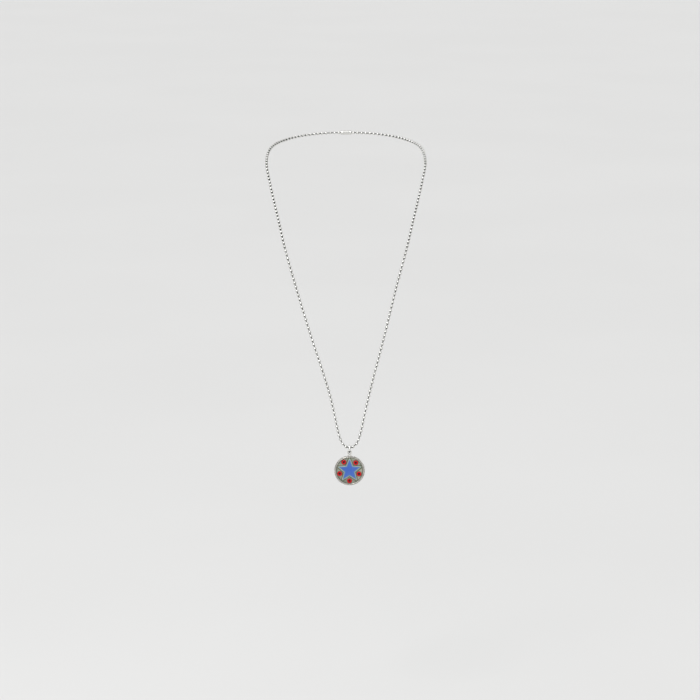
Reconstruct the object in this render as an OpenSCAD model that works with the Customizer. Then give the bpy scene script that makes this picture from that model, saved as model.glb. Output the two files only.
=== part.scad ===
// Star necklace: a ball chain that is worn round the neck, with a round star pendant on a jump ring.
// The origin is at the nape, where the clasp lies against the neck. X runs to the right as seen from the
// front, Y runs backwards and Z runs up, so the front of the necklace faces -Y.

/* [Ball chain] */
// Diameter of each hollow ball
ball_d = 2.4; // [2.2:0.05:2.5]
// Distance from one ball's centre to the next, which is rounded to a whole number of balls
ball_pitch = 3.35; // [3.3:0.01:3.45]
// Diameter of the wire of the links between the balls
link_d = 0.6; // [0.5:0.05:0.65]

/* [Jump ring] */
// Wire diameter of the jump ring
ring_wire_d = 1.2; // [1:0.05:1.25]
// Inside diameter of the jump ring
ring_inner_d = 3.8; // [3.7:0.05:4]

/* [Pendant] */
// Outside diameter of the tray's smooth wall
tray_d = 21; // [20.8:0.1:21.2]
// Inside diameter of the tray, where the inlay lies
field_d = 20; // [19.8:0.1:20.2]
// Height of the tray from its back to its front edge
tray_depth = 2.6; // [2.2:0.1:3]
// Thickness of the tray's back plate
floor_t = 0.7; // [0.5:0.1:0.9]
// Number of places for beads round the edge
edge_beads = 58; // [54:1:59]
// Diameter of the edge's beads
edge_bead_d = 1.1; // [1:0.05:1.1]
// Height of the jump ring's lowest wire above the middle of the tray
drop = 13.8; // [13.7:0.1:14.2]

/* [Inlay] */
// Radius of the blue star's tips
star_tip_r = 8.3; // [7.8:0.1:8.4]
// Radius of the blue star's inner corners
star_notch_r = 3.65; // [3.3:0.05:3.8]
// Width of the pale line round the star
line_w = 0.35; // [0.25:0.05:0.45]
// Thickness of the ground plate
ground_t = 1.1; // [0.9:0.1:1.3]
// Outside diameter of a red stud
stud_d = 3.7; // [3.4:0.1:3.8]
// Diameter of the hole in a red stud
stud_hole_d = 1.4; // [1.1:0.1:1.5]

/* [Hidden] */

// Colours
silver = [0.78, 0.78, 0.77];
dark_silver = [0.62, 0.63, 0.61];
ground_green = [0.42, 0.50, 0.45];
line_mint = [0.70, 0.80, 0.76];
star_blue = [0.25, 0.42, 0.78];
stud_red = [0.80, 0.10, 0.12];
stud_dark = [0.12, 0.10, 0.16];

// Course of the chain's middle line on one side, from the lowest ball up over the chest and round to the
// nape. Each row is [height, half the loop's width, place from front to back].
stations = [
    [-208, 0, -194],
    [-207.5, 2.7, -192],
    [-205.5, 5.1, -191.5],
    [-202.5, 6.6, -191],
    [-196, 8.6, -189.5],
    [-187, 10.6, -187],
    [-174, 13.6, -183.5],
    [-162, 17, -179],
    [-133, 26.3, -165.5],
    [-99, 36.8, -146],
    [-66.5, 46.8, -125],
    [-53, 50.6, -111],
    [-40, 54.5, -96],
    [-27, 58.2, -81],
    [-15, 61, -65],
    [-11, 60.7, -56],
    [-6.5, 58.5, -44],
    [-2.5, 46.5, -21],
    [-0.5, 26, -4.5],
    [0, 0, 1.7]
];
// The pendant hangs a little to the right of the neck's middle. The shift fades out over the chest.
lean = 2.8;
lean_full_z = -170;
lean_none_z = -90;
// Short steps of the course between two stations
span_steps = 10;

// A link starts inside its own ball's shell and ends in a head in the next ball's socket
link_root_r = 0.4 * ball_d;
link_head_d = 1.0;
socket_d = 1.3;
socket_mouth_d = 0.86;
head_offset = 0.27;

// Clasp: a plain barrel round the two last balls
clasp_ball_gap = 5;
clasp_d = 3.4;
clasp_bore_d = 2.7;
clasp_length = 9;
clasp_wall = 0.5;
clasp_slot_w = 0.9;
clasp_mouth_d = 1.4;

// Jump ring, in the plane that divides left from right
ring_r = (ring_inner_d + ring_wire_d) / 2;
ring_clearance = 0.12;
ring_sag = ring_inner_d / 2 - ball_d / 2 - ring_clearance;
ring_cut_angle = 3;

// Eyelet on top of the tray
eyelet_r = 1.32;
eyelet_wire_d = 0.8;
eyelet_clearance = 0.12;
eyelet_sag = eyelet_r - eyelet_wire_d / 2 - ring_wire_d / 2 - eyelet_clearance;
eyelet_open_angle = 24;
// Distance of the eyelet behind the tray's middle, so that the pendant balances under it
eyelet_back = 0.45;
foot_d = 0.92;
foot_spread = 1.9;
foot_out = 0.1;
// The edge has no beads this near to the top, where the feet are soldered on
foot_bare_angle = 14;

// Beads round the tray, half sunk into its wall
edge_bead_out = 0.3;
edge_bead_r = tray_d / 2 + edge_bead_out;
edge_bead_z = 0.6;

// Inlay fits
fit_gap = 0.05;
line_stand = 0.12;
star_stand = 0.06;
line_tip_r = 8.9;
stud_base_t = 0.95;
centre_below = 0.2;

// Key places
lowest_ball = [lean, stations[0][2], stations[0][0]];
ring_middle = lowest_ball - [0, 0, ring_sag];
ring_low_wire = ring_middle - [0, 0, ring_r];
pendant_middle = ring_low_wire - [0, eyelet_back, drop];
floor_z = -tray_depth / 2 + floor_t;
inlay_z = floor_z + fit_gap;
// Middles of the studs in the pendant's plane. They were set by hand, so they are a little uneven.
stud_places = [[-4.2, 6.3], [4.6, 5.9], [7, -2.6], [0, -7.8], [-7.3, -2.4]];
studs = len(stud_places);

// Course of the chain
function shift(z) = lean * max(0, min(1, (lean_none_z - z) / (lean_none_z - lean_full_z)));
function station(side, i) =
    i < len(stations)
        ? [side * stations[i][1] + shift(stations[i][0]), stations[i][2], stations[i][0]]
        : let (mirrored = station(side, 2 * len(stations) - 2 - i)) [-mirrored.x, mirrored.y, mirrored.z];

// Slope of the course at a station, by the length of its two spans
function slope(side, i) =
    i == 0
        ? (station(side, 1) - station(side, 0)) / norm(station(side, 1) - station(side, 0))
        : let (
              before = station(side, i) - station(side, i - 1),
              after = station(side, i + 1) - station(side, i),
              a = norm(before),
              b = norm(after)
          ) (before / a * b + after / b * a) / (a + b);

// Point on the cubic from station i to the next one, t from 0 to 1
function on_span(side, i, t) =
    let (
        p0 = station(side, i),
        p1 = station(side, i + 1),
        reach = norm(p1 - p0)
    )
    (2 * t ^ 3 - 3 * t ^ 2 + 1) * p0 + (t ^ 3 - 2 * t ^ 2 + t) * reach * slope(side, i)
    + (3 * t ^ 2 - 2 * t ^ 3) * p1 + (t ^ 3 - t ^ 2) * reach * slope(side, i + 1);

function course(side) = concat(
    [for (i = [0:len(stations) - 2], k = [0:span_steps - 1]) on_span(side, i, k / span_steps)],
    [station(side, len(stations) - 1)]
);
// Length of the course up to each of its points
function running_length(points) =
    let (steps = [for (i = [1:len(points) - 1]) norm(points[i] - points[i - 1])])
    [for (i = 0, s = 0; i < len(points); s = s + (i < len(steps) ? steps[i] : 0), i = i + 1) s];

// Places of the balls of one side, from the lowest one to the one in the clasp
function ball_places(side) =
    let (
        points = course(side),
        lengths = running_length(points),
        total = lengths[len(lengths) - 1] - clasp_ball_gap / 2,
        count = round(total / ball_pitch),
        table = [for (axis = [0:2]) [for (i = [0:len(points) - 1]) [lengths[i], points[i][axis]]]]
    )
    [for (k = [0:count]) [for (axis = [0:2]) lookup(total * k / count, table[axis])]];

left_balls = ball_places(-1);
right_balls = ball_places(1);

function star_points(grow) = [
    for (i = [0:9])
        let (r = (i % 2 == 0 ? star_tip_r : star_notch_r) * (star_apothem + grow) / star_apothem)
        [r * cos(90 + 36 * i), r * sin(90 + 36 * i)]
];
star_apothem = star_tip_r * star_notch_r * sin(36)
    / sqrt(star_tip_r ^ 2 + star_notch_r ^ 2 - 2 * star_tip_r * star_notch_r * cos(36));

// Turns what is drawn along +Z to run from one point towards another
module aim(from, to) {
    way = to - from;
    translate(from)
        rotate([0, acos(way.z / norm(way)), atan2(way.y, way.x)])
            children();
}

// Half of a drawing that is turned about the Y axis
module turned(size) {
    rotate_extrude($fn = 48)
        intersection() {
            children();
            translate([0, -size])
                square([size, 2 * size]);
        }
}

// Link from a ball's shell to its head in the next ball
module link(from, to) {
    reach = norm(to - from) - head_offset;
    aim(from, to)
        turned(ball_d * 2) {
            translate([0, link_root_r])
                square([link_d / 2, reach - link_root_r]);
            translate([0, reach])
                circle(d = link_head_d, $fn = 40);
        }
}

// Hollowed ball, with a socket for the head of the link that comes from the last ball
module socket_ball(here, last) {
    aim(here, last)
        turned(ball_d)
            difference() {
                circle(d = ball_d, $fn = 48);
                translate([0, head_offset])
                    circle(d = socket_d, $fn = 40);
                translate([0, head_offset])
                    square([socket_mouth_d / 2, ball_d]);
            }
}

// The balls of one side above the lowest one, each with its socket downwards and its link upwards
module strand(balls) {
    last = len(balls) - 1;
    for (k = [1:last])
        union() {
            socket_ball(balls[k], balls[k - 1]);
            if (k < last)
                link(balls[k], balls[k + 1]);
        }
}

// The left strand has the lowest ball, whose two links reach into both strands
module chain_left() {
    color(silver) {
        strand(left_balls);
        translate(lowest_ball)
            sphere(d = ball_d, $fn = 48);
        link(left_balls[0], left_balls[1]);
        link(right_balls[0], right_balls[1]);
    }
}

module chain_right() {
    color(silver)
        strand(right_balls);
}

// Barrel with a bore for the two last balls, a mouth for a link at each end and a slot to enter by
module clasp() {
    nape = station(1, len(stations) - 1);
    color(dark_silver)
        translate(nape)
            rotate([0, 90, 0])
                difference() {
                    cylinder(d = clasp_d, h = clasp_length, center = true, $fn = 64);
                    cylinder(d = clasp_bore_d, h = clasp_length - 2 * clasp_wall, center = true, $fn = 48);
                    cylinder(d = clasp_mouth_d, h = clasp_length * 2, center = true, $fn = 32);
                    translate([0, clasp_d / 2, 0])
                        cube([clasp_slot_w, clasp_d, clasp_length * 2], center = true);
                    translate([0, clasp_d / 2, 0])
                        rotate([90, 0, 0])
                            cylinder(d = clasp_bore_d, h = clasp_d, center = true, $fn = 48);
                }
}

module jump_ring() {
    color(silver)
        translate(ring_middle)
            rotate([0, 90, 0])
                rotate([0, 0, 90 + ring_cut_angle / 2])
                    rotate_extrude(angle = 360 - ring_cut_angle, $fn = 72)
                        translate([ring_r, 0])
                            circle(d = ring_wire_d, $fn = 32);
}

// Stands the pendant upright, with its drawn front to the front
module on_pendant() {
    translate(pendant_middle)
        rotate([90, 0, 0])
            children();
}

// Round-ended rod from one point to another
module rod(from, to, d) {
    reach = norm(to - from);
    aim(from, to)
        turned(reach + d) {
            circle(d = d, $fn = 32);
            square([d / 2, reach]);
            translate([0, reach])
                circle(d = d, $fn = 32);
        }
}

// Wire loop that is open at the bottom, with a thicker foot from each end down to the tray
module eyelet() {
    middle = [0, drop - eyelet_sag, 0];
    start = 270 + eyelet_open_angle / 2;
    translate(middle)
        rotate([0, 0, start])
            rotate_extrude(angle = 360 - eyelet_open_angle, $fn = 64)
                translate([eyelet_r, 0])
                    circle(d = eyelet_wire_d, $fn = 32);
    for (side = [-1, 1])
        rod(
            middle + eyelet_r * [side * cos(start), sin(start), 0],
            [side * foot_spread, sqrt((tray_d / 2 + foot_out) ^ 2 - foot_spread ^ 2), 0],
            foot_d
        );
}

module bezel() {
    color(silver)
        on_pendant() {
            difference() {
                cylinder(d = tray_d, h = tray_depth, center = true, $fn = 128);
                translate([0, 0, floor_z])
                    cylinder(d = field_d, h = tray_depth, $fn = 128);
            }
            for (i = [0:edge_beads - 1])
                let (angle = 90 + 360 * i / edge_beads, off_top = min(angle - 90, 450 - angle))
                    if (off_top > foot_bare_angle)
                        rotate([0, 0, angle])
                            translate([edge_bead_r, 0, edge_bead_z])
                                sphere(d = edge_bead_d, $fn = 40);
            translate([0, 0, -eyelet_back])
                eyelet();
        }
}

// Places of the studs, between the star's arms
module at_stud(i) {
    translate([stud_places[i - 1].x, stud_places[i - 1].y, inlay_z])
        children();
}

module ground() {
    color(ground_green)
        on_pendant()
            difference() {
                translate([0, 0, inlay_z])
                    cylinder(d = field_d - 2 * fit_gap, h = ground_t, $fn = 128);
                translate([0, 0, floor_z])
                    linear_extrude(tray_depth)
                        line_shape(fit_gap);
                for (i = [1:studs])
                    at_stud(i)
                        cylinder(d = stud_d + 2 * fit_gap, h = tray_depth, center = true, $fn = 64);
            }
}

// Outside of the pale line: a grown star with its tips cut short
module line_shape(grow) {
    intersection() {
        polygon(star_points(fit_gap + line_w + grow));
        circle(r = line_tip_r + grow, $fn = 96);
    }
}

module star_line() {
    color(line_mint)
        on_pendant()
            translate([0, 0, inlay_z])
                linear_extrude(ground_t + line_stand)
                    difference() {
                        line_shape(0);
                        polygon(star_points(fit_gap));
                    }
}

module star() {
    color(star_blue)
        on_pendant()
            translate([0, 0, inlay_z])
                linear_extrude(ground_t + star_stand)
                    polygon(star_points(0));
}

// Ring with a round top
module red_stud(i) {
    wall = (stud_d - stud_hole_d) / 2;
    color(stud_red)
        on_pendant()
            at_stud(i)
                rotate_extrude($fn = 64)
                    translate([stud_hole_d / 2, 0]) {
                        square([wall, stud_base_t]);
                        translate([wall / 2, stud_base_t])
                            circle(d = wall, $fn = 32);
                    }
}

// Domed pin in a stud's hole
module stud_centre(i) {
    pin_r = stud_hole_d / 2 - fit_gap;
    color(stud_dark)
        on_pendant()
            at_stud(i) {
                cylinder(r = pin_r, h = stud_base_t, $fn = 48);
                translate([0, 0, stud_base_t])
                    intersection() {
                        sphere(r = pin_r, $fn = 48);
                        cylinder(r = pin_r, h = pin_r - centre_below, $fn = 48);
                    }
            }
}

chain_left();
chain_right();
clasp();
jump_ring();
bezel();
ground();
star_line();
star();
red_stud(1);  // red_stud_1
red_stud(2);  // red_stud_2
red_stud(3);  // red_stud_3
red_stud(4);  // red_stud_4
red_stud(5);  // red_stud_5
stud_centre(1);  // stud_centre_1
stud_centre(2);  // stud_centre_2
stud_centre(3);  // stud_centre_3
stud_centre(4);  // stud_centre_4
stud_centre(5);  // stud_centre_5
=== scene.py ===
"""Looks of a worn ball-chain necklace with a round star pendant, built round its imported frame.

X runs to the right as seen from the front, Y backwards and Z up, in metres. The origin is at the clasp.
"""
import math

import bmesh
import bpy
from mathutils import Matrix, Vector


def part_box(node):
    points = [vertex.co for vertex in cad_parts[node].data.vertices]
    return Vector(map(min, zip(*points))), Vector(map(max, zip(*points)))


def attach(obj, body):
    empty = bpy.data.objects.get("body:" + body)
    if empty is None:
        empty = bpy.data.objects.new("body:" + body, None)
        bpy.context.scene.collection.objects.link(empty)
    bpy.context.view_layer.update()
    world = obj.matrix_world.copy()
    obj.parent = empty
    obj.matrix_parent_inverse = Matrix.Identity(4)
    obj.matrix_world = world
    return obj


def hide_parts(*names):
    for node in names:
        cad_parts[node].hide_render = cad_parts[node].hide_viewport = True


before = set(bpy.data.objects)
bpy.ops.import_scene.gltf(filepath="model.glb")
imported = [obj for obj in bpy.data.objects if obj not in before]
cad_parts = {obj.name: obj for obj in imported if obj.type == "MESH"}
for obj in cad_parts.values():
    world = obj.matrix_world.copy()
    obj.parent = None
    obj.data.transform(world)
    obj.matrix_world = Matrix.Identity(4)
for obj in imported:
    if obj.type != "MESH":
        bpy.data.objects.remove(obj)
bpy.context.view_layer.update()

MM = 0.001
QUARTER_TURN = math.pi / 2
# Corners sharper than this stay sharp under smooth shading, in degrees
SHARP_ANGLE = 50
# Vertices nearer than this become one
MERGE_DISTANCE = 0.0001 * MM

# Camera at the photograph's viewing angle
CAMERA_PLACE = (3.14 * MM, -2125.7 * MM, 276.3 * MM)
CAMERA_TILT = 78
CAMERA_LENS = 139.0

# Floor
FLOOR_Z = -0.42
FLOOR_HALF = 9.0

# Sky: light near the horizon, in the band above it and overhead, and the heights between which they blend
HORIZON_LIGHT = 0.78
BAND_LIGHT = 0.62
ZENITH_LIGHT = 1.0
BAND_HEIGHTS = (0.12, 0.3)
ZENITH_HEIGHTS = (0.55, 0.8)

# Sun, its angles in degrees, and key light
SUN_STRENGTH = 1.3
SUN_ANGLE = 20
SUN_TILT = 40
SUN_TURN = -30
KEY_PLACE = (-0.9, -1.3, 0.7)
KEY_AIM = (0, -0.15, -0.1)
KEY_SIZE = 0.5
KEY_WATTS = 5

# Ball chain
BALL_D = 2.4 * MM
BALL_SIDES = 12
BALL_RINGS = 6
# A ball's poles are pressed in from this share of its radius
HOLE_START = 0.93
HOLE_DEPTH = 0.4 * MM
LINK_D = 0.6 * MM
LINK_SIDES = 8
TONE_SEED = 4
PLACES_A_SIDE = 105
CLASP_BALL_GAP = 5 * MM
# Course of one side from the lowest ball to the clasp: height, half the loop's width, place front to back
STATIONS = [
    (-0.208, 0, -0.194),
    (-0.2075, 0.0027, -0.192),
    (-0.2055, 0.0051, -0.1915),
    (-0.2025, 0.0066, -0.191),
    (-0.196, 0.0086, -0.1895),
    (-0.187, 0.0106, -0.187),
    (-0.174, 0.0136, -0.1835),
    (-0.162, 0.017, -0.179),
    (-0.133, 0.0263, -0.1655),
    (-0.099, 0.0368, -0.146),
    (-0.0665, 0.0468, -0.125),
    (-0.053, 0.0506, -0.111),
    (-0.04, 0.0545, -0.096),
    (-0.027, 0.0582, -0.081),
    (-0.015, 0.061, -0.065),
    (-0.011, 0.0607, -0.056),
    (-0.0065, 0.0585, -0.044),
    (-0.0025, 0.0465, -0.021),
    (-0.0005, 0.026, -0.0045),
    (0, 0, 0.0017),
]
SPAN_STEPS = 10
# Shift of the course to the right, whole below the first height and none above the second
LEAN = 2.8 * MM
LEAN_FULL_Z = -0.17
LEAN_NONE_Z = -0.09

# Clasp, a sleeve round the two last balls with a slot along its back
CLASP_MIDDLE_Y = 1.7 * MM
CLASP_R = 1.7 * MM
CLASP_HALF = 4.5 * MM
CLASP_WALL = 0.25 * MM
CLASP_MOUTH_R = 0.7 * MM
CLASP_ENTRY_R = 1.35 * MM
CLASP_SLOT_HALF = 0.45 * MM
CLASP_GROOVE_X = 3.2 * MM
CLASP_GROOVE_HALF = 0.2 * MM
CLASP_GROOVE_DEPTH = 0.08 * MM
CLASP_SOFT_EDGE = 0.07 * MM
CLASP_LENGTHS = 72
CLASP_TURN_STEPS = 36

# Jump ring
RING_WIRE_D = 1.2 * MM
RING_R = 2.5 * MM
RING_CUT_ANGLE = 3
RING_STEPS = 96
WIRE_SIDES = 24

# Tray of the pendant
TRAY_R = 10.5 * MM
FIELD_R = 10 * MM
TRAY_DEPTH = 2.6 * MM
FLOOR_T = 0.7 * MM
TRAY_CORNER = 0.3 * MM
TRAY_BACK_STEPS = 8
TRAY_CORNER_STEPS = 6
TRAY_LIP_STEPS = 12
TRAY_SEGMENTS = 192
EDGE_BEADS = 58
EDGE_BEAD_D = 1.1 * MM
EDGE_BEAD_R = TRAY_R + 0.3 * MM
EDGE_BEAD_H = 0.6 * MM
EDGE_BEAD_SIDES = 16
EDGE_BEAD_RINGS = 10
FOOT_BARE_ANGLE = 14

# Eyelet on the tray
EYELET_R = 1.32 * MM
EYELET_WIRE_D = 0.8 * MM
EYELET_HEIGHT = 13.6 * MM
EYELET_BACK = 0.45 * MM
EYELET_OPEN_ANGLE = 24
EYELET_LOOP_STEPS = 48
EYELET_LEG_STEPS = 12
KNEE_OUT = 0.25 * MM
KNEE_DROP = 0.8 * MM
FOOT_D = 0.92 * MM
FOOT_SPREAD = 1.9 * MM
FOOT_SINK = 0.2 * MM
FUSE_VOXEL = 0.05 * MM
FUSE_PASSES = 6

# Ground
GROUND_T = 1.1 * MM
GROUND_SIDES = 240
GROUND_RINGS = 66
GROUND_WAVE = 0.05 * MM
FIT_GAP = 0.05 * MM
STAR_BED_DEPTH = 0.2 * MM
STUD_BED_DEPTH = 0.8 * MM
RIM_DROP = 0.06 * MM
# Dark olive line on the ground, this far outside the star's edge, and the groove along it
OLIVE_LINE_OUT = 1.05 * MM
GROOVE_HALF = 0.35 * MM
GROOVE_DEPTH = 0.06 * MM

# Star and the line round it
STAR_TIP_R = 8.3 * MM
STAR_NOTCH_R = 3.65 * MM
STAR_STAND = 0.06 * MM
STAR_EDGE_DROP = 0.08 * MM
STAR_SOFT_EDGE = 0.3 * MM
STAR_SIDES = 200
STAR_RINGS = 24
LINE_W = 0.35 * MM
LINE_TIP_R = 8.9 * MM
LINE_STAND = 0.12 * MM
LINE_CROWN = 0.12 * MM
LINE_CROWN_STEPS = 6
LINE_SIDES = 240

# Studs and their centres
STUD_D = 3.7 * MM
STUD_HOLE_D = 1.4 * MM
STUD_BASE_T = 0.95 * MM
STUD_CROWN_STEPS = 14
STUD_SEGMENTS = 48
CENTRE_CORNER = 0.2 * MM
CENTRE_CORNER_ANGLE = 60
CENTRE_CORNER_STEPS = 4
CENTRE_DOME_SHARE = 0.45
CENTRE_DOME_LOW = 0.24 * MM
CENTRE_DOME_TOP = 0.28 * MM
CENTRE_SEGMENTS = 32
# Middles of the studs in the pendant's plane, a little uneven as set by hand
STUD_PLACES = [
    (-4.2 * MM, 6.3 * MM),
    (4.6 * MM, 5.9 * MM),
    (7 * MM, -2.6 * MM),
    (0, -7.8 * MM),
    (-7.3 * MM, -2.4 * MM),
]

# Places worked out from the frame
ring_low, ring_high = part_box("jump_ring")
RING_MIDDLE = (ring_low + ring_high) / 2
ground_low, ground_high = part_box("ground")
PENDANT_MIDDLE = (ground_low + ground_high) / 2

# Half a fifth of a turn, from a star's tip to its inner corner
HALF_FIFTH = math.pi / 5
# Direction that the star's edge faces, measured from its tip, and the edge's distance from the middle
STAR_NORMAL = math.atan2(
    STAR_TIP_R - STAR_NOTCH_R * math.cos(HALF_FIFTH), STAR_NOTCH_R * math.sin(HALF_FIFTH)
)
STAR_APOTHEM = STAR_TIP_R * math.cos(STAR_NORMAL)


def srgb(*steps):
    """Colour of a painted swatch, given in 8-bit steps."""
    shares = [step / 255 for step in steps]
    return (*[((s + 0.055) / 1.055) ** 2.4 if s > 0.04 else s / 12.92 for s in shares], 1)


# Colours of the metals
BALL_DULL = srgb(214, 214, 210)
BALL_BRIGHT = srgb(231, 231, 228)
# Painted shade at the balls' poles and on the pins
BALL_SHADE = srgb(62, 62, 56)
RING_BRIGHT = srgb(242, 242, 239)
RING_DULL = srgb(220, 220, 216)
# Painted shade on the ring's lower part
RING_SHADE = srgb(46, 46, 42)
CLASP_DULL = srgb(206, 206, 202)
CLASP_BRIGHT = srgb(232, 232, 229)
# Painted shade inside the clasp and along its slot
CLASP_SHADE = srgb(58, 57, 52)
TRAY_BRIGHT = srgb(222, 219, 211)
# Tarnish blotches, and painted shade in the tray's hollows
TRAY_TARNISH_AND_SHADE = srgb(62, 60, 53)
EYELET_BRIGHT = srgb(236, 234, 228)
# Faint tarnish patches, and painted shade in the eyelet's corners
EYELET_TARNISH_AND_SHADE = srgb(60, 59, 52)

# Colours of the enamels
GROUND_DEEP = srgb(126, 132, 120)
GROUND_PALE = srgb(163, 164, 150)
GROUND_GRAIN = srgb(86, 95, 78)
GROUND_OLIVE = srgb(66, 64, 34)
# Painted shade round the studs' feet
GROUND_STUD_SHADE = srgb(70, 74, 56)
# Painted shade inside the tray's wall
GROUND_RIM_SHADE = srgb(60, 70, 56)
LINE_MINT = srgb(134, 164, 153)
LINE_BLOOM = srgb(170, 190, 179)
STAR_BLUE = srgb(60, 96, 181)
STAR_PALE = srgb(71, 106, 183)
STAR_EDGE = srgb(108, 138, 172)
STUD_RED = srgb(190, 15, 21)
STUD_PALE = srgb(210, 28, 30)
# Painted shade towards the studs' feet and down in their holes
STUD_FOOT_SHADE = srgb(112, 8, 16)
STUD_HOLE_SHADE = srgb(42, 6, 14)
# Dark centres that stand for the shade down in the studs' holes
CENTRE_SHADE_VIOLET = srgb(20, 19, 40)
CENTRE_SHADE_PALE = srgb(40, 37, 64)

# Colours of the paper floor
FLOOR_DULL = (0.655, 0.655, 0.65, 1)
FLOOR_PALE = (0.665, 0.665, 0.66, 1)

# How strong the painted shade is where it lies thickest
CLASP_SLOT_SHADE = 0.25
CLASP_INSIDE_SHADE = 0.85
CREASE_SHADE = 0.95
WELL_SHADE = 0.8
EYELET_SHADE = 0.85


# Camera, floor and light
def put_in_scene(name, data):
    """New object of a mesh, a lamp or a lens."""
    thing = bpy.data.objects.new(name, data)
    bpy.context.scene.collection.objects.link(thing)
    return thing


def make_camera():
    lens = bpy.data.cameras.new("camera")
    lens.lens = CAMERA_LENS
    camera = put_in_scene("camera", lens)
    camera.location = CAMERA_PLACE
    camera.rotation_euler = (math.radians(CAMERA_TILT), 0, 0)
    bpy.context.scene.camera = camera


def make_key_light():
    lamp = bpy.data.lights.new("key", "AREA")
    lamp.energy = KEY_WATTS
    lamp.size = KEY_SIZE
    light = put_in_scene("key", lamp)
    light.location = KEY_PLACE
    light.rotation_euler = (Vector(KEY_AIM) - Vector(KEY_PLACE)).to_track_quat("-Z", "Y").to_euler()


def make_sun():
    lamp = bpy.data.lights.new("sun", "SUN")
    lamp.energy = SUN_STRENGTH
    lamp.angle = math.radians(SUN_ANGLE)
    light = put_in_scene("sun", lamp)
    light.rotation_euler = (math.radians(SUN_TILT), 0, math.radians(SUN_TURN))


def make_world():
    """Pale near the horizon, dim above it and bright overhead, for the polished metal to show."""
    world = bpy.data.worlds.new("studio")
    bpy.context.scene.world = world
    world.use_nodes = True
    tree = world.node_tree
    way = add(tree, "ShaderNodeTexCoord").outputs["Generated"]
    up = parts_of(tree, way)["Z"]
    dim = fade(tree, up, *BAND_HEIGHTS, HORIZON_LIGHT, BAND_LIGHT)
    overhead = fade(tree, up, *ZENITH_HEIGHTS)
    level = add(tree, "ShaderNodeMix", {"Factor": overhead, "A": dim, "B": ZENITH_LIGHT}, data_type="FLOAT")
    backdrop = tree.nodes["Background"]
    backdrop.inputs["Color"].default_value = (1, 1, 1, 1)
    tree.links.new(enabled(level.outputs, "Result"), backdrop.inputs["Strength"])


def make_floor(material):
    s = FLOOR_HALF
    corners = [(-s, -s, FLOOR_Z), (s, -s, FLOOR_Z), (s, s, FLOOR_Z), (-s, s, FLOOR_Z)]
    mesh = bpy.data.meshes.new("floor")
    mesh.from_pydata(corners, [], [(0, 1, 2, 3)])
    mesh.materials.append(material)
    floor = put_in_scene("floor", mesh)


# Nodes
def enabled(sockets, key):
    """The socket of that number, or the shown one of that name."""
    if isinstance(key, int):
        return sockets[key]
    return next(s for s in sockets if s.name == key and s.enabled)


def add(tree, kind, sockets=None, **settings):
    """New node with its settings. Each input takes a value, another node's output or a list of outputs."""
    node = tree.nodes.new(kind)
    for key, value in settings.items():
        setattr(node, key, value)
    for key, value in (sockets or {}).items():
        plug = enabled(node.inputs, key)
        for one in value if isinstance(value, list) else [value]:
            if isinstance(one, bpy.types.NodeSocket):
                tree.links.new(one, plug)
            else:
                plug.default_value = one
    return node


def made(tree, kind, sockets=None, **settings):
    """First output of a new node."""
    return add(tree, kind, sockets, **settings).outputs[0]


def calc(tree, operation, *values):
    return made(tree, "ShaderNodeMath", dict(enumerate(values)), operation=operation)


def times(tree, a, b):
    return calc(tree, "MULTIPLY", a, b)


def plus(tree, a, b):
    return calc(tree, "ADD", a, b)


def minus(tree, a, b):
    return calc(tree, "SUBTRACT", a, b)


def larger(tree, a, b):
    return calc(tree, "MAXIMUM", a, b)


def compare(tree, a, b, kind, operation):
    return made(tree, "FunctionNodeCompare", {"A": a, "B": b}, data_type=kind, operation=operation)


def parts_of(tree, place):
    """The coordinates of a place, by their names."""
    return add(tree, "ShaderNodeSeparateXYZ", {0: place}).outputs


def along_z(tree, value):
    return made(tree, "ShaderNodeCombineXYZ", {"Z": value})


def fade(tree, value, low, high, out_low=0.0, out_high=1.0):
    """Goes smoothly from out_low to out_high while the value goes from low to high."""
    sockets = {"Value": value, "From Min": low, "From Max": high, "To Min": out_low, "To Max": out_high}
    return made(tree, "ShaderNodeMapRange", sockets, interpolation_type="SMOOTHSTEP")


def noise(tree, place, scale, detail, seed):
    """Noise round 0.5, its scale in waves to the metre."""
    sockets = {"Vector": place, "W": seed, "Scale": scale, "Detail": detail}
    return made(tree, "ShaderNodeTexNoise", sockets, noise_dimensions="4D")


def mottle(tree, place, scale, detail, seed, low=0.3, high=0.7, least=0.0):
    """Soft patches of noise, from the least value up to 1."""
    return fade(tree, noise(tree, place, scale, detail, seed), low, high, out_low=least)


def ripple(tree, place, scale, detail, seed, depth):
    """Noise round zero, in metres."""
    return times(tree, minus(tree, noise(tree, place, scale, detail, seed), 0.5), depth)


def from_middle(tree, u, v):
    """Distance from the pendant's middle."""
    return calc(tree, "SQRT", plus(tree, times(tree, u, u), times(tree, v, v)))


def from_upright(tree, u, v):
    """Angle from straight up, to either side."""
    return calc(tree, "ABSOLUTE", calc(tree, "ARCTAN2", u, v))


def star_slant(tree, u, v):
    """Cosine of the angle between the way from the middle and the way that the star's edge faces there."""
    folded = calc(tree, "PINGPONG", from_upright(tree, u, v), HALF_FIFTH)
    return calc(tree, "COSINE", minus(tree, folded, STAR_NORMAL))


def star_distance(tree, u, v):
    """How far a point of the pendant's plane lies outside the blue star's edge."""
    return minus(tree, times(tree, from_middle(tree, u, v), star_slant(tree, u, v)), STAR_APOTHEM)


def stud_distance(tree, u, v):
    """How far a point of the pendant's plane lies from the middle of the nearest stud."""
    here = made(tree, "ShaderNodeCombineXYZ", {"X": u, "Y": v})
    nearest = None
    for place in STUD_PLACES:
        ends = {0: here, 1: (*place, 0)}
        away = add(tree, "ShaderNodeVectorMath", ends, operation="DISTANCE").outputs["Value"]
        nearest = away if nearest is None else calc(tree, "MINIMUM", away, nearest)
    return nearest


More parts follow.
